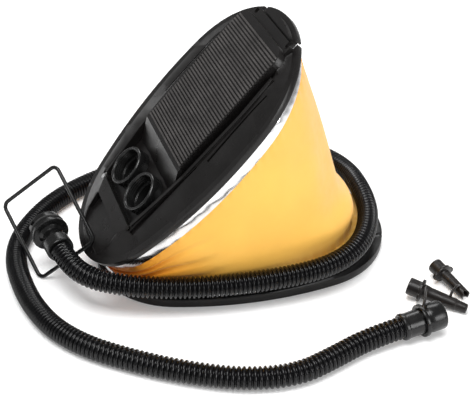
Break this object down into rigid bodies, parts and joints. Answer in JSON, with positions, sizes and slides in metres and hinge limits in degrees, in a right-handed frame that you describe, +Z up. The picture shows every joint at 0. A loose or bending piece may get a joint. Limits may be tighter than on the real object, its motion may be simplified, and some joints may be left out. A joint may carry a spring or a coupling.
{
  "type": "foot air pump",
  "caption": "Foot-operated bellows air pump: hinged ribbed pedal on an oval base, fabric bellows, two hose ports, corrugated hose with coupling, tethered nozzle adapters and a wire clip.",
  "frame": {"origin": "middle of the base's outline, on the floor", "axes": "+X from the hinged nose to the wide end, +Z up, -Y towards the side that the hose wraps first"},
  "size_m": [0.4332, 0.4101, 0.258],
  "materials": {
    "base_moulding": "satin moulded",
    "pedal_moulding": "satin moulded, slight sheen",
    "steel": "bright polished",
    "fabric": "coated cloth, satin",
    "rubber": "matte",
    "port_plastic": "gloss",
    "valve_plastic": "matte",
    "spring_wire": "drawn wire",
    "clip_wire": "plastic-coated wire",
    "hose": "gloss corrugated",
    "coupling": "gloss",
    "adapter": "satin"
  },
  "bodies": {
    "base": {"base_plate": "base_moulding", "feet": "rubber", "hinge_pin": "steel", "pin_retainer": "steel", "base_clamp_band": "steel", "base_band_rivets": "steel", "bellows": "fabric", "return_spring": "spring_wire", "spring_seat_lower": "valve_plastic", "wire_clip": "clip_wire", "hose_tube": "hose", "pump_coupling": "coupling", "coupling_o_ring": "rubber", "hose_end_fitting": "coupling", "tether_ring": "adapter", "stepped_adapter": "adapter", "taper_adapter": "adapter", "ring_strap": "adapter", "link_strap": "adapter"},
    "pedal": {"pedal_plate": "pedal_moulding", "pedal_clamp_band": "steel", "pedal_band_rivets": "steel", "bellows_upper_hem": "fabric", "spring_seat_upper": "valve_plastic", "pedal_screws": "steel", "valve_plate": "valve_plastic", "flap_stems": "valve_plastic", "port_gaskets": "rubber", "inflate_port": "port_plastic", "deflate_port": "port_plastic"},
    "inflate_flap": {"inflate_flap": "rubber"},
    "deflate_flap": {"deflate_flap": "rubber"}
  },
  "joints": [
    {"name": "pedal_hinge", "type": "hinge", "parent": "base", "child": "pedal", "pos_m": [-0.139, 0, 0.0269], "axis": [0, 1, 0], "range_deg": [0, 43], "stiffness_Nm_per_rad": 3, "springref_deg": -51.57, "deforming": ["bellows", "return_spring"]},
    {"name": "inflate_flap_lift", "type": "slide", "parent": "pedal", "child": "inflate_flap", "axis": [-0.7193, 0, 0.6947], "range_m": [0, 0.002], "stiffness_N_per_m": 20, "springref_m": -0.001},
    {"name": "deflate_flap_lift", "type": "slide", "parent": "pedal", "child": "deflate_flap", "axis": [0.7193, 0, -0.6947], "range_m": [0, 0.002], "stiffness_N_per_m": 20, "springref_m": -0.001}
  ]
}
